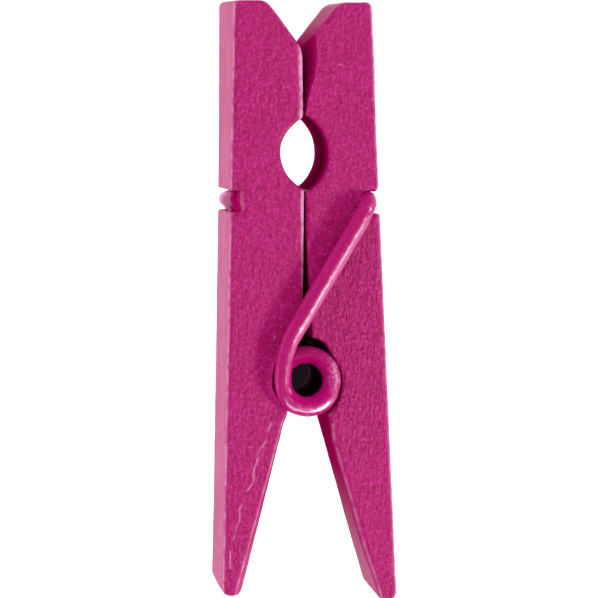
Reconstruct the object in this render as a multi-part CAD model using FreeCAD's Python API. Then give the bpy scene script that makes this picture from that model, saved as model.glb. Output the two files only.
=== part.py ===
import FreeCAD, Part
import math
import os

# A small wooden spring clothespin: two mirrored wooden halves held together by one torsion spring.
# Millimetres. +Z points at the jaws and +Y goes into the peg, along the spring's coil.
# The origin is the middle of the coil, which is the axis that the halves turn about.
# The halves meet on the plane X = 0. Their outline is drawn for the right half, at +X.

V = FreeCAD.Vector

# ---- driving dimensions ----
LENGTH = 35.0               # jaw end to handle end
JAW_END_Z = 22.2            # jaw end above the coil's axis
WOOD_DEPTH = 7.0            # thickness of the wood along the coil
OUTER_X = 4.75              # outer face to the middle plane, level with the coil
OUTER_TILT = 1.9            # degrees that each outer face leans out towards its handle end
EDGE_EASE = 0.2             # rounding of the outline's edges, front and back

WIRE = 1.04                 # spring wire with its coat of paint
COIL_R = 1.49               # coil axis to the wire's centre line
COIL_TURNS = 7.5            # the half turn puts one arm on each side
COIL_PITCH = 1.06           # close wound
WIRE_CLEAR = 0.05           # running clearance between the wire and the wood

# ---- jaws ----
JAW_GAP = 0.03              # the closed jaws stop this close, so that the solids do not overlap
MOUTH_ANGLE = 52.0          # degrees from level of the bevels that lead into the mouth
MOUTH_FOOT_Z = 19.5         # where a bevel reaches the gripping face
LINE_HOLE_Z = 13.45         # middle of the round hole that takes the washing line
LINE_HOLE_R = 2.45
LINE_HOLE_SINK = 1.38       # how deep the hole goes into each half

# ---- between the line hole and the coil ----
NECK_GAP = 0.22             # middle plane to the wood just above the coil

# ---- coil seat ----
SEAT_R = 2.45               # rounder than the coil, which touches only at its sides

# ---- handle ----
HANDLE_TILT = 14.8          # degrees between a handle's inner face and the middle plane
HANDLE_FACE_X = 0.714       # where the line of that face would cross the coil's level

# ---- groove in the outer face, for the spring's hook ----
GROOVE_Z = 10.6
GROOVE_HEIGHT = 1.3
GROOVE_SINK = 1.2

# ---- corner roundings of the outline ----
ROUND_MOUTH_LIP = 0.8
ROUND_MOUTH_FOOT = 1.6
ROUND_SHOULDER = 0.35
ROUND_HOLE_EDGE = 0.3
ROUND_SEAT_EDGE = 0.15
ROUND_TIP = 0.45

# ---- spring arms ----
ARM_BEND_R = 6.3            # the arm's gentle bend where it leaves the coil
FIRST_BEND = math.radians(15)  # how far the arm has turned when it lies flat on the wood
HOOK_BEND_R = 0.8           # centre line of the sharp bend into the groove
HOOK_END_INSET = 2.0        # the hook's end stops this far short of the far face
WIRE_END_EASE = 0.1

# ---- values worked out from the above ----
TIP_Z = JAW_END_Z - LENGTH
HALF_DEPTH = WOOD_DEPTH / 2
WIRE_R = WIRE / 2
ARM_Y = HALF_DEPTH + WIRE_CLEAR + WIRE_R
JAW_X = JAW_GAP / 2
LINE_HOLE_X = JAW_X + LINE_HOLE_SINK - LINE_HOLE_R
SEAT_X = COIL_R + WIRE_R + WIRE_CLEAR - SEAT_R

# ---- modelling aids ----
OVERCUT = 1.0               # how far a cutter runs past the wood
NEAR = 0.05                 # an edge this close to a stated corner is that corner's
SAME = 1e-6
SOLVE_STEPS = 40
ORIGIN = V(0, 0, 0)


def tan(degrees):
    return math.tan(math.radians(degrees))


def outer_x(z):
    """The outer face's distance from the middle plane at height z."""
    return OUTER_X - z * tan(OUTER_TILT)


def neck_x(z):
    """The inner face between the line hole and the seat, which opens a little towards the coil."""
    top = LINE_HOLE_Z - LINE_HOLE_R
    share = (top - z) / (top - SEAT_R)
    return JAW_X + share * (NECK_GAP - JAW_X)


def handle_x(z):
    """The handle's inner face, which leans away from the middle plane towards the tip."""
    return HANDLE_FACE_X - z * tan(HANDLE_TILT)


def cross_cylinder(x, z, radius):
    """A cutter along Y that runs past both faces of the wood."""
    start = V(x, -HALF_DEPTH - OVERCUT, z)
    return Part.makeCylinder(radius, WOOD_DEPTH + 2 * OVERCUT, start, V(0, 1, 0))


def groove_cutter():
    """A slot with a round bottom, sunk into the outer face from the side."""
    radius = GROOVE_HEIGHT / 2
    bottom_x = outer_x(GROOVE_Z) - GROOVE_SINK + radius
    corner = V(bottom_x, -HALF_DEPTH - OVERCUT, GROOVE_Z - radius)
    slot = Part.makeBox(GROOVE_SINK + OVERCUT, WOOD_DEPTH + 2 * OVERCUT, GROOVE_HEIGHT, corner)
    return slot.fuse(cross_cylinder(bottom_x, GROOVE_Z, radius)).removeSplitter()


def seat_corner(face_x, side):
    """Where the seat's circle meets an inner face, above (+1) or below (-1) the coil's axis."""
    z = side * SEAT_R
    for _ in range(SOLVE_STEPS):
        z = side * math.sqrt(SEAT_R ** 2 - (face_x(z) - SEAT_X) ** 2)
    return face_x(z), z


def round_corners(wood, places):
    """Fillet the outline's corners. places is a list of (x, z, radius)."""
    for x, z, radius in places:
        corner = [
            edge for edge in wood.Edges
            if edge.BoundBox.YLength > HALF_DEPTH
            and math.hypot(edge.CenterOfMass.x - x, edge.CenterOfMass.z - z) < NEAR
        ]
        wood = wood.makeFillet(radius, corner)
    return wood


def ease_edges(wood):
    """Round the outline's edges on the front and back faces, as tumbling leaves them."""
    edges = [
        edge for edge in wood.Edges
        if edge.BoundBox.YLength < SAME
        and abs(abs(edge.CenterOfMass.y) - HALF_DEPTH) < SAME
    ]
    return wood.makeFillet(EDGE_EASE, edges)


def make_right_half():
    """The right half: an outline cut through the wood's depth, with its corners rounded."""
    mouth_top_x = JAW_X + (JAW_END_Z - MOUTH_FOOT_Z) / tan(MOUTH_ANGLE)
    corners = [
        (outer_x(JAW_END_Z), JAW_END_Z),
        (mouth_top_x, JAW_END_Z),
        (JAW_X, MOUTH_FOOT_Z),
        (JAW_X, LINE_HOLE_Z - LINE_HOLE_R),
        (neck_x(0), 0),
        (handle_x(0), 0),
        (handle_x(TIP_Z), TIP_Z),
        (outer_x(TIP_Z), TIP_Z),
    ]
    points = [V(x, -HALF_DEPTH, z) for x, z in corners]
    outline = Part.Face(Part.makePolygon(points + points[:1]))
    wood = outline.extrude(V(0, WOOD_DEPTH, 0))
    wood = wood.cut(cross_cylinder(LINE_HOLE_X, LINE_HOLE_Z, LINE_HOLE_R))
    wood = wood.cut(cross_cylinder(SEAT_X, 0, SEAT_R))

    hole_reach = math.sqrt(LINE_HOLE_R ** 2 - (JAW_X - LINE_HOLE_X) ** 2)
    wood = round_corners(wood, [
        (outer_x(JAW_END_Z), JAW_END_Z, ROUND_SHOULDER),
        (mouth_top_x, JAW_END_Z, ROUND_MOUTH_LIP),
        (JAW_X, MOUTH_FOOT_Z, ROUND_MOUTH_FOOT),
        (JAW_X, LINE_HOLE_Z + hole_reach, ROUND_HOLE_EDGE),
        (JAW_X, LINE_HOLE_Z - hole_reach, ROUND_HOLE_EDGE),
        (*seat_corner(neck_x, 1), ROUND_SEAT_EDGE),
        (*seat_corner(handle_x, -1), ROUND_SEAT_EDGE),
        (handle_x(TIP_Z), TIP_Z, ROUND_TIP),
        (outer_x(TIP_Z), TIP_Z, ROUND_TIP),
    ])
    wood = wood.cut(groove_cutter())
    return ease_edges(wood)


def middle_of_arc(start, way, end):
    """The middle point of the arc that leaves start in the direction way and reaches end."""
    chord = end - start
    half_turn = math.acos(way.dot(chord) / chord.Length)
    bulge = way - chord * (way.dot(chord) / chord.Length ** 2)
    return (start + end) / 2 + bulge.normalize() * (chord.Length / 2 * math.tan(half_turn / 2))


def coil_half(start):
    """The helix from the arm's side of the coil, down past its underside, to the coil's middle."""
    helix = Part.makeLongHelix(COIL_PITCH, COIL_PITCH * COIL_TURNS / 2, COIL_R, 0, True)
    helix.rotate(ORIGIN, V(0, 1, 1), 180)
    helix.translate(V(0, start.y, 0))
    return helix


def front_half_of_wire():
    """The wire's centre line from a hook's end, along its arm and to the middle of the coil.

    The wire leaves the coil along the helix. A short first bend turns that slope level, so that
    the arm lies flat against the wood, and a second bend points it at the groove.
    """
    rise = COIL_PITCH / (2 * math.pi * COIL_R)
    leaving = V(0, -rise, 1).normalize()
    level = V(math.sin(FIRST_BEND), 0, math.cos(FIRST_BEND))
    coil_end = V(-COIL_R, -COIL_PITCH * COIL_TURNS / 2, 0)
    chord = (leaving + level) * ((coil_end.y + ARM_Y) / -leaving.y)
    first_end = coil_end + chord

    radial = V(-math.cos(FIRST_BEND), 0, math.sin(FIRST_BEND))
    centre = first_end - radial * ARM_BEND_R
    hook = V(outer_x(GROOVE_Z) - GROOVE_SINK + WIRE_CLEAR + WIRE_R, -ARM_Y, GROOVE_Z)
    to_hook = hook - centre
    turned = math.atan2(to_hook.z, -to_hook.x) - math.acos(ARM_BEND_R / to_hook.Length)
    along = V(math.sin(turned), 0, math.cos(turned))

    def on_bend(angle):
        return centre + V(-math.cos(angle), 0, math.sin(angle)) * ARM_BEND_R

    inward = V(0, 1, 0)
    hook_end = V(hook.x, HALF_DEPTH - HOOK_END_INSET, hook.z)
    in_groove = hook + inward * HOOK_BEND_R
    on_wood = hook - along * HOOK_BEND_R
    hook_bend_middle = on_wood + inward * HOOK_BEND_R + (along - inward).normalize() * HOOK_BEND_R
    first_middle = middle_of_arc(coil_end, leaving, first_end)
    return Part.Wire([
        Part.makeLine(hook_end, in_groove),
        Part.Arc(in_groove, hook_bend_middle, on_wood).toShape(),
        Part.makeLine(on_wood, on_bend(turned)),
        Part.Arc(on_bend(turned), on_bend((turned + FIRST_BEND) / 2), first_end).toShape(),
        Part.Arc(first_end, first_middle, coil_end).toShape(),
        *coil_half(coil_end).Edges,
    ])


def make_spring():
    """One round wire: hook, arm, coil, arm, hook. Half a turn about Z brings it onto itself."""
    path = front_half_of_wire()
    start = path.OrderedVertexes[0].Point
    section = Part.Wire(Part.makeCircle(WIRE_R, start, V(0, 1, 0)))
    front = path.makePipeShell([section], True, False)
    rim = [
        edge for edge in front.Edges
        if edge.CenterOfMass.distanceToPoint(start) < WIRE_R / 2
    ]
    front = front.makeFillet(WIRE_END_EASE, rim)
    back = front.copy()
    back.rotate(ORIGIN, V(0, 0, 1), 180)
    return front.fuse(back).removeSplitter()


def export(name, shape):
    """Write one closed solid to its own file."""
    solid = shape.Solids[0]
    assert len(shape.Solids) == 1 and solid.isValid() and solid.isClosed(), name
    solid.exportStep(f"parts/{name}.step")


os.makedirs("parts", exist_ok=True)
right_half = make_right_half()
export("right_half", right_half)
export("left_half", right_half.mirror(ORIGIN, V(1, 0, 0)))
export("spring", make_spring())
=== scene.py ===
# A small wooden spring clothespin, painted all over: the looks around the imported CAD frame.
# There are three visible parts: two wooden halves and one torsion spring. The spring is three
# meshes, cut where its arms leave the coil, so that each arm rides with the half it hooks over.
#
# Shapes are worked out in millimetres in the CAD frame and turned to metres when a mesh is made.
# The coil's axis is the origin. x points to the right half, -y to the viewer and z to the jaws.
# A side is -1 for the left half and 1 for the right one.

import math

import bmesh
import bpy
import numpy as np
from mathutils import Matrix, Vector, noise


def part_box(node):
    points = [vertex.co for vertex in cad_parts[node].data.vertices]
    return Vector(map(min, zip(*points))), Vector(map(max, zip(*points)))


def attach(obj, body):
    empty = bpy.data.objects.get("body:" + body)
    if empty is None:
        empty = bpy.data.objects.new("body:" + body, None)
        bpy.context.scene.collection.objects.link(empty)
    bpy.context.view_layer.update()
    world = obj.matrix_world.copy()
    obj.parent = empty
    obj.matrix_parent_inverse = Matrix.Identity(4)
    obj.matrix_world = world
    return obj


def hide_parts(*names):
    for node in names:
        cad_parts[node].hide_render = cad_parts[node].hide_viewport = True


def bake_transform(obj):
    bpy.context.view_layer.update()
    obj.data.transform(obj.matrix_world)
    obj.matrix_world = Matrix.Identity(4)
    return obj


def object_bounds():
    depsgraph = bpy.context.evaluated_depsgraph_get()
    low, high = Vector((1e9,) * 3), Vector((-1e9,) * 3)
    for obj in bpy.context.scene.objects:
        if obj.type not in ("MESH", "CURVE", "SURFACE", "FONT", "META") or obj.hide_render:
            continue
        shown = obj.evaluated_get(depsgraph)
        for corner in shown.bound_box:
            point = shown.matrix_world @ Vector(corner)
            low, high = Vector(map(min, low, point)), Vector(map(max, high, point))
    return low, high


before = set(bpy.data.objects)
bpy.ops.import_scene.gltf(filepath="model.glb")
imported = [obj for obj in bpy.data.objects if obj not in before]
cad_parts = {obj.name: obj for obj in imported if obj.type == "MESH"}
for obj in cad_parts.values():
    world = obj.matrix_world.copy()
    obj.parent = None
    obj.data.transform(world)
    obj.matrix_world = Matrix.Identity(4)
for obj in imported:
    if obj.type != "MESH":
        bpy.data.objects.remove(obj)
cad_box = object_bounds()

MM = 0.001

# ---- measures of the frame, in millimetres ----
LEFT_LOW, LEFT_HIGH = (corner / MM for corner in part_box("left_half"))
SPRING_LOW, SPRING_HIGH = (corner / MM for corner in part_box("spring"))

WIRE_CLEAR = 0.05                       # between the arms and the wood's faces
HALF_DEPTH = LEFT_HIGH.y
FRONT_Y = -HALF_DEPTH
WIRE_R = (SPRING_HIGH.y - HALF_DEPTH - WIRE_CLEAR) / 2
COIL_R = -SPRING_LOW.z - WIRE_R         # from the axis to the middle of the wire
RING_R = COIL_R + WIRE_R                # the coil's outside
ARM_Y = HALF_DEPTH + WIRE_CLEAR + WIRE_R
HOOK_X = SPRING_HIGH.x - WIRE_R
GROOVE_Z = SPRING_HIGH.z - WIRE_R

# ---- measures of the halves that their boxes do not give ----
OUTER_X = 4.4                           # outer face beside the groove
OUTER_TILT = math.radians(1.9)
HANDLE_FACE_X = 0.714                   # inner face of a handle, carried up to the coil's level
HANDLE_TILT = math.radians(14.8)
HANDLE_START_Z = -2.4                   # where a handle's inner face begins below the coil
GROOVE_HALF = 0.58                      # half the groove's height
NECK_LOW_Z = 3.0                        # the flat faces between the coil and the line hole
HOLE_LOW_Z = 11.2                       # the line hole between the closed halves
HOLE_MIDDLE_Z = 13.0
HOLE_HIGH_Z = 15.6
MOUTH_Z = 19.8                          # where the V mouth opens
LEFT_JAW_EDGE = (15.2, 19.9)            # heights between which an inner front edge is rounded
RIGHT_JAW_EDGE = (15.0, 18.6)
RIGHT_NECK_EDGE = (2.4, 11.6)

# ---- spring path ----
COIL_TURNS = 7.5
COIL_PITCH = 1.06
COIL_START_Y = -COIL_PITCH * COIL_TURNS / 2
ARM_BEND_R = 6.3
HOOK_BEND_R = 0.8
HOOK_END_INSET = 2.0
BACK_HOOK_END_Y = HOOK_END_INSET - HALF_DEPTH
FLAT_SHARE = 0.49                       # share of the arm's bend that lies flat on the wood
PATH_STEP = 0.07
WIRE_SIDES = 28
THINNING = 0.010                        # keeps the uneven wire inside the CAD wire

# ---- wood surface ----
VOXEL = 0.075
SOFTEN_ROUNDS = 3
FRONT_SKIN = 0.2                        # a place this near to the front face counts as on it
BEVEL = 0.14                            # a handle's inner front edge, beside the coil
LEFT_TIP_BEVEL = 0.34
RIGHT_TIP_BEVEL = 0.2
RIGHT_SINK = 0.2                        # how much lower the right half's groove and handle sit
RIGHT_TIP_SINK = 0.16                   # and how much lower still its tip
CRACK = ((-2.2, -2.4), (-4.55, -9.3))   # (x, z) ends of a raised line on the left handle
TIP_CRACK = ((-4.70, -9.9), (-4.72, -11.1))

# Lumps of paint, as (distance from the middle plane, z, radius, depth behind the front face).
LEFT_GROOVE_LUMPS = (
    (3.38, 10.95, 0.34, 0.42), (3.34, 10.50, 0.40, 0.42), (3.42, 10.12, 0.30, 0.42),
    (3.20, 10.70, 0.44, 0.42), (4.08, 11.02, 0.26, 1.15), (4.00, 10.72, 0.30, 1.30),
    (3.90, 10.38, 0.30, 1.20), (4.30, 10.08, 0.18, 0.70), (3.80, 10.10, 0.24, 0.70),
    (3.58, 10.70, 0.34, 0.78), (3.56, 11.05, 0.30, 0.80),
)
RIGHT_GROOVE_LUMPS = (
    (3.30, 10.75, 0.36, 0.05), (3.18, 10.50, 0.34, 0.05),
    (3.02, 10.22, 0.30, 0.05), (2.86, 9.95, 0.26, 0.05),
)
SEAT_LUMP = (0.33, 2.34, 0.36, 5.40)    # above the coil, where the seats meet
GROOVE_LUMP_STRETCH = 1.1               # along y
SEAT_LUMP_STRETCH = 4.0

# ---- colours of the paint, of what it leaves bare, and of painted light and shade ----
PAINT = (0.475, 0.003, 0.158, 1)
PAINT_DEEP = (0.37, 0.001, 0.102, 1)
PAINT_PALE = (0.58, 0.012, 0.232, 1)
FLECK = (0.63, 0.030, 0.280, 1)
# Pale: worn paint and dust, and painted highlights on the wood's edges and on the coil.
WORN_AND_HIGHLIGHT = (0.80, 0.30, 0.56, 1)
# Painted light: the back hook's cut end, pale so that it reads as lit in its shaded groove.
LIT_CUT_END = (0.76, 0.29, 0.53, 1)
# Painted shade: on faces that look at the other half, in the line hole and groove, and in a line
# beside the outer front edge.
SHADED = (0.38, 0.0005, 0.098, 1)
# Dark steel, also used as painted shade inside the coil and above it between the halves.
DARK_STEEL_AND_SHADE = (0.05, 0.022, 0.035, 1)

# ---- light ----
LIGHT_DISTANCE = 0.5                    # metres, as are the soft boxes' sizes
KEY = (0.764, -0.545, -0.353)           # direction of the key light
LEFT = (-0.97, -0.10, 0.05)             # direction of the broad light
WHITE = (1.0, 1.0, 1.0)
COOL_WHITE = (0.80, 0.90, 1.0)          # of the boxes that shine in the wire

# ---- camera: the viewing angle of the peg's picture ----
VIEW_AZIMUTH = -6.68
VIEW_ELEVATION = 3.08
VIEW_ROLL = -0.678
VIEW_DISTANCE = 260.0
VIEW_FOCAL = 261.74                     # on a 36 mm wide sensor
VIEW_TARGET_OFFSET = Vector((0.02, 0.0, -0.09))


# ------------------------------------------------------------------ small helpers

def smoothstep(value, low, high):
    """0 below low, 1 above high, and smooth between. Works on numbers and on arrays."""
    share = np.clip((value - low) / (high - low), 0, 1)
    return share * share * (3 - 2 * share)


def near(distance, reach):
    """1 at no distance, falling evenly to 0 at reach."""
    return np.clip(1 - distance / reach, 0, 1)


def bell(distance, width):
    """1 at no distance, fading smoothly to both sides."""
    return np.exp(-(distance / width) ** 2)


def blend(first, second, share):
    """The value a share of the way from the first to the second."""
    return first + (second - first) * share


def noise_at(points, scale, seed=0.0, stretch=(1, 1, 1)):
    """Smooth noise, about -1 to 1, at each point. scale is in features per millimetre."""
    moved = points * (np.array(stretch) * scale) + seed
    return np.array([noise.noise(Vector(p)) for p in moved])


def link_object(name, data):
    """A new object in the scene."""
    made = bpy.data.objects.new(name, data)
    bpy.context.scene.collection.objects.link(made)
    return made


def mesh_from(shape, name):
    """The bmesh as a mesh. The bmesh is used up."""
    mesh = bpy.data.meshes.new(name)
    shape.to_mesh(mesh)
    shape.free()
    return mesh


def mesh_object(name, mesh, material):
    piece = link_object(name, mesh)
    mesh.materials.clear()
    mesh.materials.append(material)
    mesh.shade_smooth()
    return piece


def set_points(mesh, points):
    mesh.vertices.foreach_set("co", points.astype(np.float32).ravel())
    mesh.update()


def get_points(mesh):
    flat = np.zeros(len(mesh.vertices) * 3, np.float32)
    mesh.vertices.foreach_get("co", flat)
    return flat.reshape(-1, 3).astype(float)


def get_normals(mesh):
    flat = np.zeros(len(mesh.vertices) * 3, np.float32)
    mesh.vertex_normals.foreach_get("vector", flat)
    return flat.reshape(-1, 3).astype(float)


def get_edges(mesh):
    flat = np.zeros(len(mesh.edges) * 2, np.int32)
    mesh.edges.foreach_get("vertices", flat)
    return flat.reshape(-1, 2)


def add_attribute(mesh, name, values):
    layer = mesh.attributes.new(name, "FLOAT", "POINT")
    layer.data.foreach_set("value", values.astype(np.float32))


# ------------------------------------------------------------------ wood shapes

def paint_lumps(side):
    """Lumps of paint that clog the front end of a half's groove, and a long one in the corner above
    the coil where its seat meets the other half."""
    shape = bmesh.new()
    groove_lumps = LEFT_GROOVE_LUMPS if side < 0 else RIGHT_GROOVE_LUMPS
    for lump in groove_lumps + (SEAT_LUMP,):
        distance, z, radius, depth = lump
        stretch = SEAT_LUMP_STRETCH if lump is SEAT_LUMP else GROOVE_LUMP_STRETCH
        made = bmesh.ops.create_icosphere(shape, subdivisions=3, radius=radius)
        for vertex in made["verts"]:
            vertex.co.y *= stretch
            vertex.co += Vector((distance * side, FRONT_Y + depth, z))
    return mesh_from(shape, "paint_lumps")


def remeshed(node_name, added):
    """The CAD node's solid, joined with the added mesh, as one even closed mesh in millimetres."""
    shape = bmesh.new()
    shape.from_mesh(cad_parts[node_name].data)
    bmesh.ops.scale(shape, vec=(1 / MM,) * 3, verts=shape.verts)
    shape.from_mesh(added)
    source = link_object("remesh_source", mesh_from(shape, "remesh_source"))
    modifier = source.modifiers.new("even", "REMESH")
    modifier.mode = "VOXEL"
    modifier.voxel_size = VOXEL
    modifier.adaptivity = 0
    depsgraph = bpy.context.evaluated_depsgraph_get()
    mesh = bpy.data.meshes.new_from_object(source.evaluated_get(depsgraph))
    bpy.data.objects.remove(source)
    return mesh


def neighbour_mean(points, edges):
    """The mean of each point's neighbours."""
    total = np.zeros_like(points)
    count = np.zeros(len(points))
    for one, other in ((0, 1), (1, 0)):
        np.add.at(total, edges[:, one], points[edges[:, other]])
        np.add.at(count, edges[:, one], 1)
    return total / count[:, None]


def handle_face(z):
    """A handle's inner face, as a distance from the middle plane."""
    return HANDLE_FACE_X - z * math.tan(HANDLE_TILT)


def outer_face(z):
    """The outer face, as a distance from the middle plane."""
    return OUTER_X - (z - GROOVE_Z) * math.tan(OUTER_TILT)


def depth_share(y):
    """0 at the front face and 1 at the back."""
    return (y - FRONT_Y) / (2 * HALF_DEPTH)


def pare_right_face(points):
    """The right half's inner face is pared back towards the front: a sharp facet below the mouth
    that turns into a round edge further down, and a narrow one beside the neck."""
    x, y, z = points.T
    up_the_jaw = smoothstep(z, 15.5, 18.9)
    jaw_width = blend(0.14, 0.80, up_the_jaw)
    jaw_roundness = blend(2.6, 1.1, up_the_jaw)
    jaw_start_y = -1.7
    neck_width = blend(0.33, 0.07, smoothstep(z, 3.5, 9.0))
    neck_roundness = 1.6
    neck_start_y = 0.4
    lowest = 2.0

    on_jaw = z > HOLE_MIDDLE_Z
    start_y = np.where(on_jaw, jaw_start_y, neck_start_y)
    towards_front = np.clip((start_y - y) / (start_y - FRONT_Y), 0, 1)
    roundness = np.where(on_jaw, jaw_roundness, neck_roundness)
    pared = np.where(on_jaw, jaw_width, neck_width) * towards_front ** roundness
    x[:] = np.where((z > lowest) & (x < pared), pared, x)


def round_inner_edge(points, side, radius, heights):
    """The front edge of a half's inner face is unevenly rounded between two heights."""
    x, y, z = points.T
    low, high = heights
    fade, unevenness = 0.5, 0.4
    uneven = unevenness * np.clip(noise_at(points, 2.2, 14.0 * side), -1, 1)
    uneven_radius = radius * (1 + uneven)
    length_share = smoothstep(z, low, low + fade) * (1 - smoothstep(z, high - fade, high))
    inward = near(x * side, uneven_radius) * length_share
    drop = uneven_radius * (1 - np.sqrt(1 - 0.98 * inward ** 2))
    y[:] = np.maximum(y, FRONT_Y + drop)


def open_right_seat(points):
    """Above the coil the front of the right half's seat is cut wider than the coil."""
    x, y, z = points.T
    widen, reach = 0.46, 1.6
    radius = np.hypot(x, z)
    share = smoothstep(z / radius, 0.72, 0.99) * smoothstep(-y, 0.0, 1.5)
    factor = 1 + widen * share * near(radius - RING_R, reach) / radius * (z > 0)
    x *= factor
    z *= factor


def twist_right_handle(points):
    """The right handle's inner face is turned a little, so that its front edge stands further in."""
    x, y, z = points.T
    inwards, reach = 0.20, 1.6
    front = 1 - depth_share(y)
    length_share = smoothstep(-z, 2.0, 3.6) * (1 - smoothstep(-z, 9.3, 12.2))
    x -= inwards * front * length_share * near(x - handle_face(z), reach)


def round_groove_lips(points):
    """The outer corners above and below the right half's groove are worn round."""
    x, y, z = points.T
    for away, radius in ((1, 0.55), (-1, 0.30)):
        beyond_lip = (z - GROOVE_Z) * away - GROOVE_HALF
        height = near(beyond_lip, radius)
        limit = outer_face(z) - radius + radius * np.sqrt(1 - 0.96 * height ** 2)
        x[:] = np.where(beyond_lip > -0.1, np.minimum(x, limit), x)


def settle_right_half(points):
    """Below its groove the right half sits lower than the left, and its tip lower still, most at the
    front. Its outer face stands out a little, most at the jaws."""
    x, y, z = points.T
    tip_slope = 0.3
    z -= RIGHT_SINK * (1 - smoothstep(z, 12.2, 16.0))
    z -= (RIGHT_TIP_SINK - tip_slope * depth_share(y)) * smoothstep(-z, 9.0, 12.6)
    outwards = blend(0.05, 0.10, smoothstep(z, 14.0, 20.0))
    x += outwards * smoothstep(x, 0.5, 3.0)


def skew_left_half(points):
    """The left half's outer face leans out and twists a little towards the jaws."""
    x, y, z = points.T
    lean, twist, handle_skew = 0.14, 0.026, 0.03
    lean_start, lean_length = -3, 25
    outer = smoothstep(-x, 0.5, 3.0)
    towards_jaws = np.clip((z - lean_start) / lean_length, 0, None) ** 2
    x -= (lean + twist * y) * towards_jaws * outer
    x += handle_skew * depth_share(y) * smoothstep(-z, 1.0, 7.0) * outer


def stretch_left_jaw(points):
    """The left jaw stands a little higher than the right and comes a little lower."""
    x, y, z = points.T
    stretch = 0.20
    z += stretch * smoothstep(z, 19.5, 22.0)
    lower_end = smoothstep(z, 13.2, 14.9) * (1 - smoothstep(z, 15.6, 17.0))
    z -= stretch * lower_end * smoothstep(x, -2.2, -1.2)


def close_left_seat(points):
    """Paint fills the left half's seat up to the coil below the axis."""
    x, y, z = points.T
    filled, reach, lowest = 0.85, 0.9, -3.2
    wall = RING_R + 0.03
    radius = np.hypot(x, z)
    below_axis = smoothstep(-z / radius, 0.15, 0.45) * (x < 0) * (z > lowest)
    share = near(radius - wall, reach) * below_axis
    factor = 1 - share * np.clip(radius - wall, 0, None) * filled / radius
    x *= factor
    z *= factor


def fill_ring_corner(points):
    """Paint fills the corner between the left half's front face and the ring that lies on it."""
    x, y, z = points.T
    height, reach = 0.38, 0.4
    share = near(np.abs(np.hypot(x, z) - RING_R - 0.05), reach) ** 2
    y -= height * share * (y < FRONT_Y + 0.4) * smoothstep(-x, 0.9, 1.5)


def slope_left_tip(points):
    """The left handle's end face slopes up towards the back."""
    x, y, z = points.T
    front_lift, back_lift = 0.1, 0.38
    back = np.clip(depth_share(y), 0, 1)
    z += (front_lift + back_lift * back ** 2) * smoothstep(-z, 10.8, 12.7)


def bevel_width(z, side):
    """How far a handle's bevel reaches across its front face."""
    at_tip = LEFT_TIP_BEVEL if side < 0 else RIGHT_TIP_BEVEL
    return blend(BEVEL, at_tip, smoothstep(-z, 3.0, 12.0))


def bevel_handle_edge(points, side):
    """The inner front edge of a handle is worn to a bevel that broadens towards the tip."""
    x, y, z = points.T
    steepness, start_y, front_length = 0.75, -2.2, 1.3
    inward = bevel_width(z, side) - (x * side - handle_face(z))
    front = np.clip((start_y - y) / front_length, 0, 1)
    y += np.clip(inward, 0, None) * front * steepness * (z < HANDLE_START_Z)


def grain_relief(points, side):
    """How far the painted grain stands out at each point: fine mottling and, near the coil on the
    right half, raised ridges that run along the grain."""
    mottle_height, grain_height, ridge_height = 0.009, 0.007, 0.025
    mottle = noise_at(points, 3.1, 11.3 * side) + 0.6 * noise_at(points, 6.3, 5.7 * side)
    grain = noise_at(points, 1.0, 3.1 * side, (3.2, 3.2, 0.9))
    relief = mottle_height * mottle + grain_height * grain
    if side > 0:
        ridges = smoothstep(noise_at(points, 1.0, 7.7, (4.6, 2.0, 1.5)), 0.16, 0.40)
        relief += ridge_height * ridge_zone(points, side) * ridges
    return relief


def ridge_zone(points, side):
    """1 on the right half's front face near the coil, where the grain is raised most."""
    x, y, z = points.T
    if side < 0:
        return np.zeros(len(points))
    upright_share = smoothstep(z, -7.0, -2.5) * (1 - smoothstep(z, 7.0, 10.5))
    across_share = smoothstep(x, 0.8, 1.8) * smoothstep(outer_face(z) - x, 0.15, 0.4)
    return upright_share * across_share * (y < FRONT_Y + FRONT_SKIN)


# ------------------------------------------------------------------ where the wood's paint differs, and where shade and highlights are painted

def line_mask(points, ends, half_width, wobble):
    """1 on a wavy line drawn over the front face between two (x, z) places, fading to 0 beside it."""
    start, end = np.array(ends[0]), np.array(ends[1])
    place = points[:, [0, 2]]
    length = np.hypot(*(end - start))
    along = (end - start) / length
    across = np.array([-along[1], along[0]])
    travel = (place - start) @ along
    bend = wobble * (np.sin(travel * 2.1) + 0.6 * np.sin(travel * 5.3 + 1.0))
    away = np.abs((place - start) @ across - bend)
    on_line = 1 - smoothstep(away, half_width * 0.5, half_width * 1.5)
    inside = smoothstep(travel, -0.1, 0.2) * (1 - smoothstep(travel, length - 0.2, length + 0.1))
    on_face = points[:, 1] < FRONT_Y + 0.25
    return on_line * inside * on_face


def crack_mask(points):
    """1 on the broken raised line down the left handle."""
    half_width = 0.05
    long_crack = line_mask(points, CRACK, half_width, 0.08)
    tip_crack = line_mask(points, TIP_CRACK, half_width, 0.03)
    unbroken = smoothstep(noise_at(points, 1.7, 9.0), -0.35, 0.1)
    return np.maximum(long_crack, tip_crack) * unbroken


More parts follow.
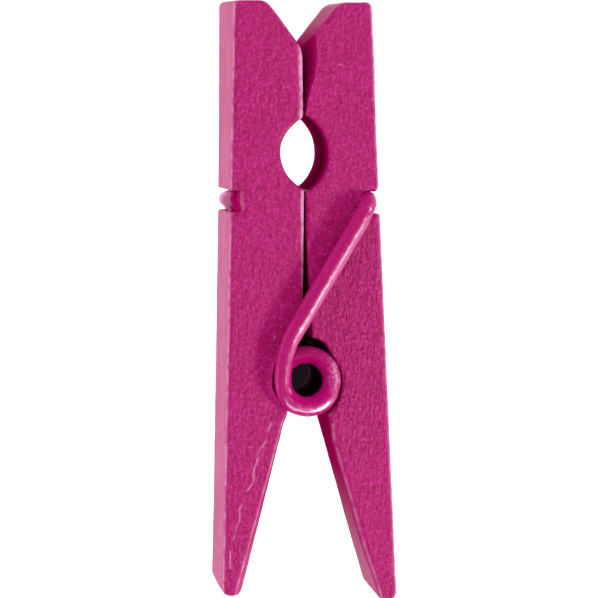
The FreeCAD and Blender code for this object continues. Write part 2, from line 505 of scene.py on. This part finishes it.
def inner_shade(points, normals, side):
    """How much painted shade each point takes: 1 where a face looks at the other half and holds
    little gloss, less towards the handle's tip and the mouth. The line hole and the groove are as
    dark, and a thin painted dark line beside the outer front edge takes half as much."""
    x, y, z = points.T
    distance = x * side
    from_outside = outer_face(z) - distance
    hole_depth, groove_floor_x = 1.6, 3.8

    facing = smoothstep(-normals[:, 0] * side, 0.45, 0.9)
    hole = (z > HOLE_LOW_Z) & (z < HOLE_HIGH_Z) & (distance < hole_depth)
    hole &= np.abs(normals[:, 1]) < 0.6
    openness = 0.8 * smoothstep(-z, 4.5, 12.0) + 0.55 * smoothstep(z, MOUTH_Z, 21.6)
    inner = np.maximum(facing, hole) * (1 - openness)

    groove = (np.abs(z - GROOVE_Z) < GROOVE_HALF + 0.05) & (np.abs(y) < HALF_DEPTH - 0.05)
    groove &= (from_outside > 0.1) & (distance > groove_floor_x)
    # Painted shade: a thin dark line on the outer face just behind the front edge.
    dimmed_edge_line = 0.5 * bell(y - FRONT_Y - 0.26, 0.07) * (from_outside < 0.12)
    return np.maximum.reduce([inner, groove, dimmed_edge_line])


def crest_wear_and_highlight(points, side):
    """Pale crests, partly worn paint and partly painted highlight: along the outer front edge, and
    where a handle's bevel meets its front. The left half has them along the jaw, the neck and the
    inner end of its groove too."""
    x, y, z = points.T
    distance = x * side
    from_groove = np.abs(z - GROOVE_Z)
    half_width = 0.06
    outer = bell(outer_face(z) - distance - 0.05, half_width) * (from_groove > 0.6)
    from_handle_face = distance - handle_face(z)
    bevel = bell(from_handle_face - bevel_width(z, side), half_width) * (z < HANDLE_START_Z)
    crests = [outer, bevel]
    if side < 0:
        inner_x, groove_end_x = 0.12, 3.68
        crests.append(2.2 * bell(distance - inner_x, 0.13) * (z > 15.4) * (z < MOUTH_Z))
        crests.append(2.6 * bell(distance - inner_x, 0.10) * (z > NECK_LOW_Z) * (z < HOLE_LOW_Z))
        crests.append(bell(distance - groove_end_x, 0.09) * (from_groove < 0.55))
    return np.maximum.reduce(crests) * (y < FRONT_Y + FRONT_SKIN)


def wear_and_highlight_places(points, side, bulge):
    """How pale each point is, partly worn paint and partly painted highlight: where an edge bulges
    and along the crests, in patches."""
    uneven_bulge = bulge + 0.02 * noise_at(points, 2.0, 21.0 * side)
    edges = 0.36 * smoothstep(uneven_bulge, 0.05, 0.12)
    patchy = smoothstep(noise_at(points, 2.3, 2.5 * side), -0.45, 0.35)
    return np.maximum(edges, crest_wear_and_highlight(points, side)) * blend(0.35, 1.0, patchy)


def dusty_places(points, side, normals):
    """Pale specks everywhere, and pale streaks along the grain of the outer face."""
    specks = smoothstep(noise_at(points, 4.5, 31.0 * side), 0.68, 0.85)
    streaks = smoothstep(noise_at(points, 1.0, 8.0 * side, (1.0, 4.2, 0.3)), -0.2, 0.6)
    return np.maximum(specks, 0.6 * streaks * smoothstep(normals[:, 0] * side, 0.8, 0.95))


def shape_left(points):
    """What makes this peg's left half differ from the CAD solid."""
    bevel_handle_edge(points, -1)
    round_inner_edge(points, -1, 0.26, LEFT_JAW_EDGE)
    close_left_seat(points)
    fill_ring_corner(points)
    skew_left_half(points)
    stretch_left_jaw(points)
    slope_left_tip(points)


def shape_right(points):
    """What makes this peg's right half differ from the CAD solid."""
    pare_right_face(points)
    round_inner_edge(points, 1, 0.28, RIGHT_JAW_EDGE)
    round_inner_edge(points, 1, 0.36, RIGHT_NECK_EDGE)
    open_right_seat(points)
    twist_right_handle(points)
    bevel_handle_edge(points, 1)
    round_groove_lips(points)
    settle_right_half(points)


def make_wood(name, node_name, side, body, material):
    """One half: the CAD solid with soft edges, raised grain and this peg's own unevenness."""
    mesh = remeshed(node_name, paint_lumps(side))
    edges = get_edges(mesh)
    points = get_points(mesh)
    for _ in range(SOFTEN_ROUNDS):
        points = 0.5 * points + 0.5 * neighbour_mean(points, edges)
    set_points(mesh, points)
    normals = get_normals(mesh)
    bulge = np.einsum("ij,ij->i", points - neighbour_mean(points, edges), normals) / VOXEL

    # Pale edges and crests: partly worn paint, partly painted highlight.
    wear_and_highlight = wear_and_highlight_places(points, side, bulge)
    dust = dusty_places(points, side, normals)
    ridges = ridge_zone(points, side)
    relief = grain_relief(points, side)
    if side < 0:
        crack = crack_mask(points)
        relief += 0.02 * crack
        wear_and_highlight = np.maximum(wear_and_highlight, 0.8 * crack)
    points += normals * relief[:, None]
    if side < 0:
        shape_left(points)
    else:
        shape_right(points)
    set_points(mesh, points * MM)

    # Painted shade, lighter where edges and crests are painted pale.
    shade = inner_shade(points, get_normals(mesh), side) * (1 - 0.7 * np.clip(wear_and_highlight, 0, 1))
    add_attribute(mesh, "shade", shade)
    add_attribute(mesh, "wear_and_highlight", wear_and_highlight)
    add_attribute(mesh, "dust", dust)
    add_attribute(mesh, "ridges", ridges)
    piece = mesh_object(name, mesh, material)
    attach(piece, body)
    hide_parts(node_name)
    return piece


# ------------------------------------------------------------------ spring shapes

def steps_for(length):
    return max(2, int(math.ceil(length / PATH_STEP)))


def straight(start, end):
    count = steps_for((end - start).length)
    return [start.lerp(end, i / count) for i in range(count)]


def corner_arc(corner, from_direction, to_direction, radius):
    """The round bend that replaces a square corner. Directions are those of travel."""
    centre = corner - from_direction * radius + to_direction * radius
    count = steps_for(radius * math.pi / 2)
    points = []
    for i in range(count):
        angle = math.pi / 2 * i / count
        forward = from_direction * radius * math.sin(angle)
        points.append(centre - to_direction * radius * math.cos(angle) + forward)
    return points


def arm_path(sink):
    """From the hook's end in the right half's groove, which is lower by sink, to the coil."""
    bend_x = ARM_BEND_R - COIL_R
    corner = Vector((HOOK_X, -ARM_Y, GROOVE_Z - sink))
    reach = math.hypot(corner.x - bend_x, corner.z)
    leave = math.atan2(corner.z, corner.x - bend_x) + math.acos(ARM_BEND_R / reach)
    arc_start = Vector((bend_x + ARM_BEND_R * math.cos(leave), -ARM_Y, ARM_BEND_R * math.sin(leave)))
    forwards = Vector((0, -1, 0))
    down = (arc_start - corner).normalized()

    hook_end = Vector((HOOK_X, -BACK_HOOK_END_Y, corner.z))
    points = straight(hook_end, corner - forwards * HOOK_BEND_R)
    points += corner_arc(corner, forwards, down, HOOK_BEND_R)
    points += straight(corner + down * HOOK_BEND_R, arc_start)

    sweep = math.pi - leave
    count = steps_for(ARM_BEND_R * sweep)
    for i in range(count):
        share = i / count
        angle = leave + sweep * share
        inwards = max(0.0, (share - FLAT_SHARE) / (1 - FLAT_SHARE)) ** 2
        y = blend(-ARM_Y, COIL_START_Y, inwards)
        x = bend_x + ARM_BEND_R * math.cos(angle)
        points.append(Vector((x, y, ARM_BEND_R * math.sin(angle))))
    return points


def coil_path():
    """The wound part, from the front arm to the back arm."""
    turn = 2 * math.pi * COIL_TURNS
    count = steps_for(COIL_R * turn)
    points = []
    for i in range(count + 1):
        angle = math.pi + turn * i / count
        y = COIL_START_Y + COIL_PITCH * COIL_TURNS * i / count
        points.append(Vector((COIL_R * math.cos(angle), y, COIL_R * math.sin(angle))))
    return points


def thicken_front_turn(moved, place, centre):
    """Paint runs to the underside of the front turn and into its hole."""
    radius = math.hypot(place.x, place.z)
    if centre.y > -3.0 or radius > COIL_R + 2 * WIRE_R:
        return
    outwards, inwards = 0.15, 0.05
    outer = smoothstep(radius - COIL_R, 0.0, 0.4) * smoothstep(-place.z / radius, 0.2, 0.9)
    inner = smoothstep(COIL_R - radius, 0.0, 0.4) * smoothstep(place.x / radius, -0.2, 0.8)
    grow = (outwards * outer - inwards * inner) * smoothstep(-centre.y, 3.0, 3.4)
    moved.x *= 1 + grow / radius
    moved.z *= 1 + grow / radius


def bend_back_hook_end(moved, centre):
    """The cut end of the back hook is pinched a little flat and stands out of its groove."""
    if centre.x > -3.0 or abs(centre.x + HOOK_X) > 0.01:
        return
    outwards, lift, flattening = 0.55, 0.08, 0.1
    pinch = smoothstep(-centre.y, -2.2, 1.0)
    moved.z = centre.z + (moved.z - centre.z) * (1 - flattening * pinch) + lift * pinch
    moved.x -= outwards * pinch


def thicken_front_bend(moved, place, centre):
    """Paint gathers on top of the bend where the front arm turns into its hook."""
    if centre.x < 3.0 or centre.y > -3.0:
        return
    build_up = Vector((0.05, 0, 0.15))
    in_bend = smoothstep(centre.z, GROOVE_Z - 1.2, GROOVE_Z - 0.3)
    moved += build_up * (smoothstep(place.z - centre.z, 0.1, 0.45) * in_bend)


def fill_under_arm(moved, place, centre):
    """Paint fills the corners between an arm and the wood it lies on, and hangs from the front arm's
    lower side."""
    on_wood = smoothstep(abs(centre.y), ARM_Y - 0.06, ARM_Y - 0.01) * smoothstep(centre.z, 2.0, 3.5)
    lying = on_wood * (1 - smoothstep(centre.z, GROOVE_Z - 1.3, GROOVE_Z - 0.7))
    if lying <= 0:
        return
    beside = Vector((place.x - centre.x, 0, place.z - centre.z))
    below = abs(centre.y) - abs(place.y)
    if below > 0:
        filled_width, filled_share, widest = 0.97, 0.9, 3.5
        side_share = math.sqrt(max(0.0, 1 - (below / WIRE_R) ** 2))
        widen = (filled_width - side_share) / max(side_share, 0.15) * filled_share * lying
        moved += beside * max(0.0, min(widen, widest))
    if centre.y < 0:
        hanging_paint = Vector((0.086, 0, -0.052))
        lower_side = smoothstep(beside.x - 0.6 * beside.z, 0.1, 0.6)
        moved += hanging_paint * (lower_side * lying)


def paint_build_up(place, centre):
    """Where a place on the wire's surface lies once paint has run and gathered on the wire."""
    moved = place.copy()
    thicken_front_turn(moved, place, centre)
    bend_back_hook_end(moved, centre)
    thicken_front_bend(moved, place, centre)
    fill_under_arm(moved, place, centre)
    return moved


def wire_rings(path):
    """A ring of points round each path point, carried along without twisting, with a hand-painted
    wire's small unevenness."""
    rings = []
    side = Vector((0, 0, 1))
    for i, point in enumerate(path):
        ahead = path[min(i + 1, len(path) - 1)] - path[max(i - 1, 0)]
        ahead.normalize()
        side = (side - ahead * side.dot(ahead)).normalized()
        up = ahead.cross(side)
        ring = []
        for k in range(WIRE_SIDES):
            angle = 2 * math.pi * k / WIRE_SIDES
            outward = side * math.cos(angle) + up * math.sin(angle)
            place = point + outward * WIRE_R
            uneven = 0.010 * noise.noise(place * 1.9) + 0.005 * noise.noise(place * 5.0)
            ring.append(paint_build_up(place + outward * (uneven - THINNING), point))
        rings.append(ring)
    return rings


def end_rings(ring, outward):
    """Rings that round off a cut wire end, whose face leans back a little at the top."""
    length, flat_share, lean = 0.22, 0.55, 0.25
    centre = sum(ring, Vector()) / len(ring)
    made = []
    for share in (0.35, 0.65, 0.85, 0.96):
        scale = blend(flat_share, 1.0, math.sqrt(1 - share ** 2))
        made.append([
            centre + (p - centre) * scale + outward * share * (length + lean * (p.z - centre.z))
            for p in ring
        ])
    return made


def tube_object(name, rings, material):
    """A closed tube through the rings, with sharp rims at its flat ends."""
    shape = bmesh.new()
    rows = [[shape.verts.new(p * MM) for p in ring] for ring in rings]
    for row, following in zip(rows, rows[1:]):
        for k in range(WIRE_SIDES):
            after = (k + 1) % WIRE_SIDES
            shape.faces.new((row[k], row[after], following[after], following[k]))
    shape.faces.new(list(reversed(rows[0])))
    shape.faces.new(rows[-1])
    bmesh.ops.recalc_face_normals(shape, faces=shape.faces)
    mesh = mesh_from(shape, name)
    piece = mesh_object(name, mesh, material)
    rims = set()
    for face in mesh.polygons:
        if len(face.vertices) == WIRE_SIDES:
            rims.update(face.edge_keys)
    for edge in mesh.edges:
        if edge.key in rims:
            edge.use_edge_sharp = True
    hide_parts("spring")
    return piece


def make_spring(material):
    """The spring in three meshes: each arm rides with its half, and the coil stays fixed between
    them.
    """
    front = arm_path(RIGHT_SINK)
    coil = coil_path()
    back = [Vector((-p.x, -p.y, p.z)) for p in reversed(arm_path(0.0))]
    rings = wire_rings(front + coil + back)
    coil_first = len(front)
    coil_last = len(front) + len(coil) - 1

    front_cap = end_rings(rings[0], Vector((0, 1, 0)))
    back_cap = end_rings(rings[-1], Vector((0, -1, 0)))
    front_arm = tube_object("spring_front_arm", front_cap[::-1] + rings[:coil_first + 1], material)
    back_arm = tube_object("spring_back_arm", rings[coil_last:] + back_cap, material)
    coil_piece = tube_object("spring_coil", rings[coil_first:coil_last + 1], material)
    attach(front_arm, "right_lever")
    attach(back_arm, "left_lever")
    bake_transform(coil_piece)
    return front_arm, coil_piece, back_arm


# ------------------------------------------------------------------ materials

class Graph:
    """A material's or a world's node tree, with one short call for each kind of node."""

    def __init__(self, owner):
        owner.use_nodes = True
        self.owner = owner
        self.tree = owner.node_tree
        self.tree.nodes.clear()

    def node(self, kind, **inputs):
        """A new node. Its named inputs are joined to other nodes' outputs or set to plain values."""
        made = self.tree.nodes.new(kind)
        for name, value in inputs.items():
            self.join(value, made.inputs[name.replace("_", " ")])
        return made

    def join(self, value, socket):
        if isinstance(value, bpy.types.NodeSocket):
            self.tree.links.new(value, socket)
        else:
            socket.default_value = value

    def math(self, operation, first, second=0.0):
        made = self.node("ShaderNodeMath")
        made.operation = operation
        self.join(first, made.inputs[0])
        self.join(second, made.inputs[1])
        return made.outputs[0]

    def multiply(self, first, second):
        return self.math("MULTIPLY", first, second)

    def strongest(self, first, second):
        return self.math("MAXIMUM", first, second)

    def weighted_sum(self, *pairs):
        """The sum of (value, weight) pairs."""
        total = self.multiply(*pairs[0])
        for value, weight in pairs[1:]:
            total = self.math("ADD", total, self.multiply(value, weight))
        return total

    def split(self, vector):
        """The x, y and z of a vector."""
        return self.node("ShaderNodeSeparateXYZ", Vector=vector).outputs

    def attribute(self, name):
        made = self.node("ShaderNodeAttribute")
        made.attribute_name = name
        return made.outputs["Fac"]

    def millimetres(self, stretch=(1, 1, 1)):
        """The place on the piece in millimetres, stretched for a stretched pattern."""
        scale = self.node("ShaderNodeVectorMath")
        scale.operation = "MULTIPLY"
        self.join(self.node("ShaderNodeTexCoord").outputs["Object"], scale.inputs[0])
        self.join([s / MM for s in stretch], scale.inputs[1])
        return scale.outputs[0]

    def noise(self, place, scale, detail=2.0, roughness=0.5, distortion=0.0):
        return self.node(
            "ShaderNodeTexNoise",
            Vector=place, Scale=scale, Detail=detail, Roughness=roughness, Distortion=distortion,
        ).outputs["Fac"]

    def ramp(self, value, low, high, at_low=0.0, at_high=1.0):
        """at_low up to low, at_high from high on, and smooth between."""
        made = self.node(
            "ShaderNodeMapRange",
            Value=value, From_Min=low, From_Max=high, To_Min=at_low, To_Max=at_high,
        )
        made.interpolation_type = "SMOOTHSTEP"
        return made.outputs["Result"]

    def mix_colour(self, share, first, second):
        made = self.node("ShaderNodeMix")
        made.data_type = "RGBA"
        self.join(share, made.inputs[0])
        self.join(first, made.inputs[6])
        self.join(second, made.inputs[7])
        return made.outputs[2]

    def mix_value(self, share, first, second):
        made = self.node("ShaderNodeMix")
        self.join(share, made.inputs[0])
        self.join(first, made.inputs[2])
        self.join(second, made.inputs[3])
        return made.outputs[0]

    def finish_surface(self, shader):
        self.node("ShaderNodeOutputMaterial", Surface=shader.outputs[0])
        return self.owner

    def finish_paint(self, colour, roughness, specular, height, bump):
        """A painted surface. bump is the height's reach in millimetres."""
        normal = self.node("ShaderNodeBump", Height=height, Strength=1.0, Distance=bump * MM)
        shader = self.node(
            "ShaderNodeBsdfPrincipled",
            Base_Color=colour, Roughness=roughness, Normal=normal.outputs["Normal"],
            Specular_IOR_Level=specular,
        )
        return self.finish_surface(shader)


def paint_colour(graph, contrast):
    """Mottled magenta paint, with features of a quarter of a millimetre. Gives the mottling too."""
    place = graph.millimetres()
    mottle = graph.noise(place, 4.2, 4.0, 0.7)
    cloud = graph.noise(place, 0.35)
    fleck = graph.noise(place, 6.5)
    colour = graph.mix_colour(graph.ramp(mottle, 0.52, 0.36, 0.0, contrast), PAINT, PAINT_DEEP)
    colour = graph.mix_colour(graph.ramp(mottle, 0.53, 0.68, 0.0, contrast), colour, PAINT_PALE)
    colour = graph.mix_colour(graph.ramp(cloud, 0.3, 0.7, 0.0, 0.25), colour, PAINT_DEEP)
    colour = graph.mix_colour(graph.ramp(fleck, 0.54, 0.68, 0.0, 0.7 * contrast), colour, FLECK)
    colour = graph.mix_colour(graph.ramp(fleck, 0.44, 0.30, 0.0, 0.6 * contrast), colour, PAINT_DEEP)
    return colour, mottle


def wood_material():
    """Satin paint over fine-grained wood: mottled, with raised grain, pale edges that are partly worn
    paint and partly painted highlight, and painted shade where faces look at the other half.
    """
    graph = Graph(bpy.data.materials.new("painted_wood"))
    colour, mottle = paint_colour(graph, 1.0)
    shade = graph.attribute("shade")
    colour = graph.mix_colour(graph.multiply(graph.attribute("dust"), 0.3), colour, WORN_AND_HIGHLIGHT)
    # Pale edges and crests: worn paint and painted highlight.
    colour = graph.mix_colour(graph.multiply(graph.attribute("wear_and_highlight"), 0.7), colour, WORN_AND_HIGHLIGHT)
    # Painted shade where the shade attribute is high.
    colour = graph.mix_colour(graph.multiply(shade, 0.7), colour, SHADED)

    grain = graph.noise(graph.millimetres((1, 1, 0.35)), 5.0, 3.0, 0.6)
    speck = graph.noise(graph.millimetres(), 9.0)
    ridge = graph.noise(graph.millimetres((1, 1, 0.4)), 4.4, 1.0, distortion=0.9)
    ridge = graph.multiply(graph.ramp(ridge, 0.46, 0.60), graph.attribute("ridges"))
    height = graph.weighted_sum((mottle, 0.6), (grain, 1.0), (speck, 0.4), (ridge, 0.5))

    roughness = graph.weighted_sum((graph.ramp(mottle, 0.3, 0.7, 0.46, 0.6), 1.0), (shade, 0.3))
    normal = graph.node("ShaderNodeNewGeometry").outputs["Normal"]
    front = graph.math("ABSOLUTE", graph.split(normal)["Y"])
    specular = graph.multiply(
        graph.ramp(front, 0.3, 0.8, 0.4, 0.1),
        graph.ramp(shade, 0.0, 1.0, 1.0, 0.0),
    )
    return graph.finish_paint(colour, roughness, specular, height, 0.085)


def bare_steel_and_shade(graph, radius, y, z):
    """1 where the wire is dark, partly bare steel and partly painted shade: inside the coil behind
    its front turn, and above the coil between the halves."""
    inside = graph.ramp(radius, COIL_R - 0.22, COIL_R - 0.42)
    behind = graph.ramp(y, FRONT_Y + 0.05, FRONT_Y + 0.4)
    above = graph.multiply(
        graph.ramp(z, 0.8, 1.3),
        graph.ramp(radius, RING_R + 0.4, RING_R + 0.2),
    )
    between = graph.ramp(graph.math("ABSOLUTE", y), HALF_DEPTH - 0.05, HALF_DEPTH - 0.4)
    return graph.strongest(graph.multiply(inside, behind), graph.multiply(above, between))


def wire_material():
    """The same paint on steel wire, smoother, duller where it pooled in the front turn's hole, rough
    with a painted highlight on that turn's right, a cut end painted pale as if lit, and dark inside
    the coil and above it, partly bare steel and partly painted shade."""
    graph = Graph(bpy.data.materials.new("painted_wire"))
    colour, mottle = paint_colour(graph, 0.35)
    x, y, z = graph.split(graph.millimetres())
    radius = graph.math("SQRT", graph.math("ADD", graph.multiply(x, x), graph.multiply(z, z)))
    bare_and_shade = bare_steel_and_shade(graph, radius, y, z)

    # Painted highlight: a mottled pale patch, also rougher, on the front turn's right.
    highlight_patch_z = 0.45
    height_off_highlight_patch = graph.math("ABSOLUTE", graph.math("SUBTRACT", z, highlight_patch_z))
    highlight_patch = graph.multiply(graph.ramp(x, 1.0, 1.7), graph.ramp(height_off_highlight_patch, 1.3, 0.5))
    painted_highlight = graph.multiply(highlight_patch, graph.ramp(mottle, 0.42, 0.58))
    # Painted light: the cut end of the back hook, matt and pale as if lit.
    lit_cut_end = graph.multiply(
        graph.ramp(x, -3.4, -3.6),
        graph.ramp(y, BACK_HOOK_END_Y + 0.4, BACK_HOOK_END_Y + 0.1),
    )
    colour = graph.mix_colour(graph.multiply(painted_highlight, 0.45), colour, WORN_AND_HIGHLIGHT)
    colour = graph.mix_colour(graph.multiply(lit_cut_end, 0.9), colour, LIT_CUT_END)
    # Dark inside and above the coil: partly bare steel, partly painted shade.
    colour = graph.mix_colour(bare_and_shade, colour, DARK_STEEL_AND_SHADE)

    dimmed_edge_line = graph.multiply(
        graph.ramp(radius, COIL_R + 0.05, COIL_R - 0.15),
        graph.ramp(x, -1.25, -0.9),
    )
    dull = graph.strongest(graph.strongest(bare_and_shade, dimmed_edge_line), lit_cut_end)
    specular = graph.ramp(dull, 0.0, 1.0, 0.3, 0.0)
    smooth = graph.ramp(mottle, 0.3, 0.7, 0.18, 0.28)
    roughness = graph.weighted_sum((smooth, 1.0), (bare_and_shade, 0.5), (highlight_patch, 0.2))
    speck = graph.noise(graph.millimetres(), 8.0)
    height = graph.weighted_sum((mottle, 1.0), (speck, 0.3))
    return graph.finish_paint(colour, roughness, specular, height, 0.014)


def floor_material():
    """Pale: a white glow, brighter the flatter it is looked along, as a painted sheen."""
    graph = Graph(bpy.data.materials.new("floor_white"))
    facing = graph.node("ShaderNodeLayerWeight", Blend=0.5).outputs["Facing"]
    glow = graph.node("ShaderNodeEmission", Strength=graph.ramp(facing, 0.55, 0.93, 0.55, 1.0))
    matt = graph.node("ShaderNodeBsdfDiffuse", Color=(0.35, 0.35, 0.35, 1))
    both = graph.node("ShaderNodeAddShader")
    graph.join(glow.outputs[0], both.inputs[0])
    graph.join(matt.outputs[0], both.inputs[1])
    return graph.finish_surface(both)


def shade_card_material():
    """Painted shade: nearly black from the front and clear from behind."""
    graph = Graph(bpy.data.materials.new("shade_card_black"))
    towards_eye = graph.node("ShaderNodeNewGeometry").outputs["Incoming"]
    from_front = graph.math("LESS_THAN", graph.split(towards_eye)["Y"], 0.0)
    clear = graph.node("ShaderNodeBsdfTransparent")
    dark = graph.node("ShaderNodeEmission", Color=(0.012, 0.006, 0.010, 1))
    chosen = graph.node("ShaderNodeMixShader")
    graph.join(from_front, chosen.inputs[0])
    graph.join(clear.outputs[0], chosen.inputs[1])
    graph.join(dark.outputs[0], chosen.inputs[2])
    return graph.finish_surface(chosen)


# ------------------------------------------------------------------ stage, light and camera

def stage_sheet(name, corners, material):
    """A flat sheet of the stage that the camera alone sees. It takes no part in the light."""
    shape = bmesh.new()
    shape.faces.new([shape.verts.new(corner) for corner in corners])
    mesh = mesh_from(shape, name)
    mesh.materials.append(material)
    sheet = link_object(name, mesh)
    sheet.visible_shadow = False
    sheet.visible_glossy = False
    sheet.visible_diffuse = False


def make_floor():
    """It lies just under the lowest place a handle's tip can swing to."""
    half_width = 4000.0
    gap = 0.1
    tip_reach = math.hypot(LEFT_LOW.x, LEFT_LOW.z - RIGHT_TIP_SINK)
    corners = [
        Vector((half_width * x, half_width * y, -tip_reach - gap)) * MM
        for x, y in ((-1, -1), (1, -1), (1, 1), (-1, 1))
    ]
    stage_sheet("floor", corners, floor_material())


def make_shade_card():
    """A sheet of painted shade just behind the coil, seen only from the front: the dark that shows
    through the coil's hole.
    """
    radius = (COIL_R - WIRE_R + 0.25) * MM
    depth = (SPRING_HIGH.y + 0.02) * MM
    sides = 48
    angles = [2 * math.pi * k / sides for k in range(sides)]
    corners = [(radius * math.cos(angle), depth, radius * math.sin(angle)) for angle in angles]
    stage_sheet("shade_card", corners, shade_card_material())


def make_world():
    """White all round for the camera. For the light it gives, dimmer on the camera's side; for what
    shines in the paint, nearly dark there, as behind a photographer."""
    world = bpy.data.worlds.new("studio")
    bpy.context.scene.world = world
    graph = Graph(world)
    direction = graph.node("ShaderNodeTexCoord").outputs["Generated"]
    backwards = graph.split(direction)["Y"]
    light = graph.ramp(backwards, -0.95, -0.10, 0.61, 1.25)
    gloss = graph.ramp(backwards, -0.12, 0.35, 0.015, 1.2)
    path = graph.node("ShaderNodeLightPath").outputs
    strength = graph.mix_value(path["Is Glossy Ray"], light, gloss)
    strength = graph.mix_value(path["Is Camera Ray"], strength, 1.0)
    back = graph.node("ShaderNodeBackground", Color=(1, 1, 1, 1), Strength=strength)
    graph.node("ShaderNodeOutputWorld", Surface=back.outputs[0])


def make_light(name, direction, width, height, power, colour):
    """A soft box in the given direction from the coil, facing it."""
    data = bpy.data.lights.new(name, "AREA")
    data.shape = "RECTANGLE"
    data.size = width
    data.size_y = height
    data.energy = power
    data.color = colour
    light = link_object(name, data)
    towards = Vector(direction).normalized()
    light.location = towards * LIGHT_DISTANCE
    light.rotation_mode = "QUATERNION"
    light.rotation_quaternion = (-towards).to_track_quat("-Z", "Y")
    light.visible_camera = False
    return light


def light_only(light, pieces, matt, glossy):
    """The light reaches these pieces and nothing else: their matt colour, their gloss or both."""
    chosen = bpy.data.collections.new(light.name + "_receivers")
    for piece in pieces:
        chosen.objects.link(piece)
    light.light_linking.receiver_collection = chosen
    light.visible_diffuse = matt
    light.visible_glossy = glossy


def make_lights(wood, wire):
    """A key from the lower right and a broad light from the left give both halves and the spring
    their matt colour. The other soft boxes shine only in the gloss of the wood or of the wire."""
    lights = (
        # name, direction, width, height, power, colour, pieces, matt, glossy
        ("key", KEY, 0.07, 0.07, 1.02, WHITE, wood, True, True),
        ("key_wire", KEY, 0.07, 0.07, 1.05, WHITE, wire, True, False),
        ("left_side", LEFT, 0.30, 0.50, 0.66, WHITE, wood, True, True),
        ("left_wire", LEFT, 0.30, 0.50, 0.66, WHITE, wire, True, False),
        ("key_gloss", KEY, 0.07, 0.07, 8.0, WHITE, wood, False, True),
        ("rim", (0.96, 0.28, 0.0), 0.20, 0.60, 1.6, WHITE, wood, False, True),
        ("low_right", (0.535, -0.64, -0.554), 0.15, 0.15, 8.0, COOL_WHITE, wire, False, True),
        ("below", (-0.06, -0.66, -0.75), 0.36, 0.09, 3.6, COOL_WHITE, wire, False, True),
        ("right", (0.88, -0.42, 0.20), 0.14, 0.14, 2.4, COOL_WHITE, wire, False, True),
        ("arm_band", (0.815, -0.35, -0.49), 0.70, 0.24, 3.0, COOL_WHITE, wire, False, True),
        ("left_band", (-1.0, 0.02, -0.26), 0.14, 0.22, 0.4, COOL_WHITE, wire, False, True),
    )
    for *box, pieces, matt, glossy in lights:
        light_only(make_light(*box), pieces, matt, glossy)


def make_camera(low, high):
    data = bpy.data.cameras.new("camera")
    data.sensor_width = 36.0
    data.lens = VIEW_FOCAL
    data.clip_start = 0.005
    data.clip_end = 50.0
    camera = link_object("camera", data)
    azimuth, elevation = math.radians(VIEW_AZIMUTH), math.radians(VIEW_ELEVATION)
    back = Vector((
        math.sin(azimuth) * math.cos(elevation),
        -math.cos(azimuth) * math.cos(elevation),
        math.sin(elevation),
    ))
    middle = Vector((0, 0, (low.z + high.z) / 2))
    target = middle + VIEW_TARGET_OFFSET * MM
    camera.location = target + back * VIEW_DISTANCE * MM
    right = (-back).cross(Vector((0, 0, 1))).normalized()
    up = right.cross(-back)
    roll = math.radians(VIEW_ROLL)
    camera_x = right * math.cos(roll) + up * math.sin(roll)
    camera_y = up * math.cos(roll) - right * math.sin(roll)
    camera.rotation_mode = "QUATERNION"
    camera.rotation_quaternion = Matrix((camera_x, camera_y, back)).transposed().to_quaternion()
    bpy.context.scene.camera = camera


# ------------------------------------------------------------------ the scene

painted_wood = wood_material()
halves = (
    make_wood("left_wood", "left_half", -1, "left_lever", painted_wood),
    make_wood("right_wood", "right_half", 1, "right_lever", painted_wood),
)
spring = make_spring(wire_material())
make_floor()
make_shade_card()
make_world()
make_lights(halves, spring)
make_camera(*cad_box)
bpy.context.scene.view_settings.view_transform = "Standard"

bpy.context.view_layer.update()
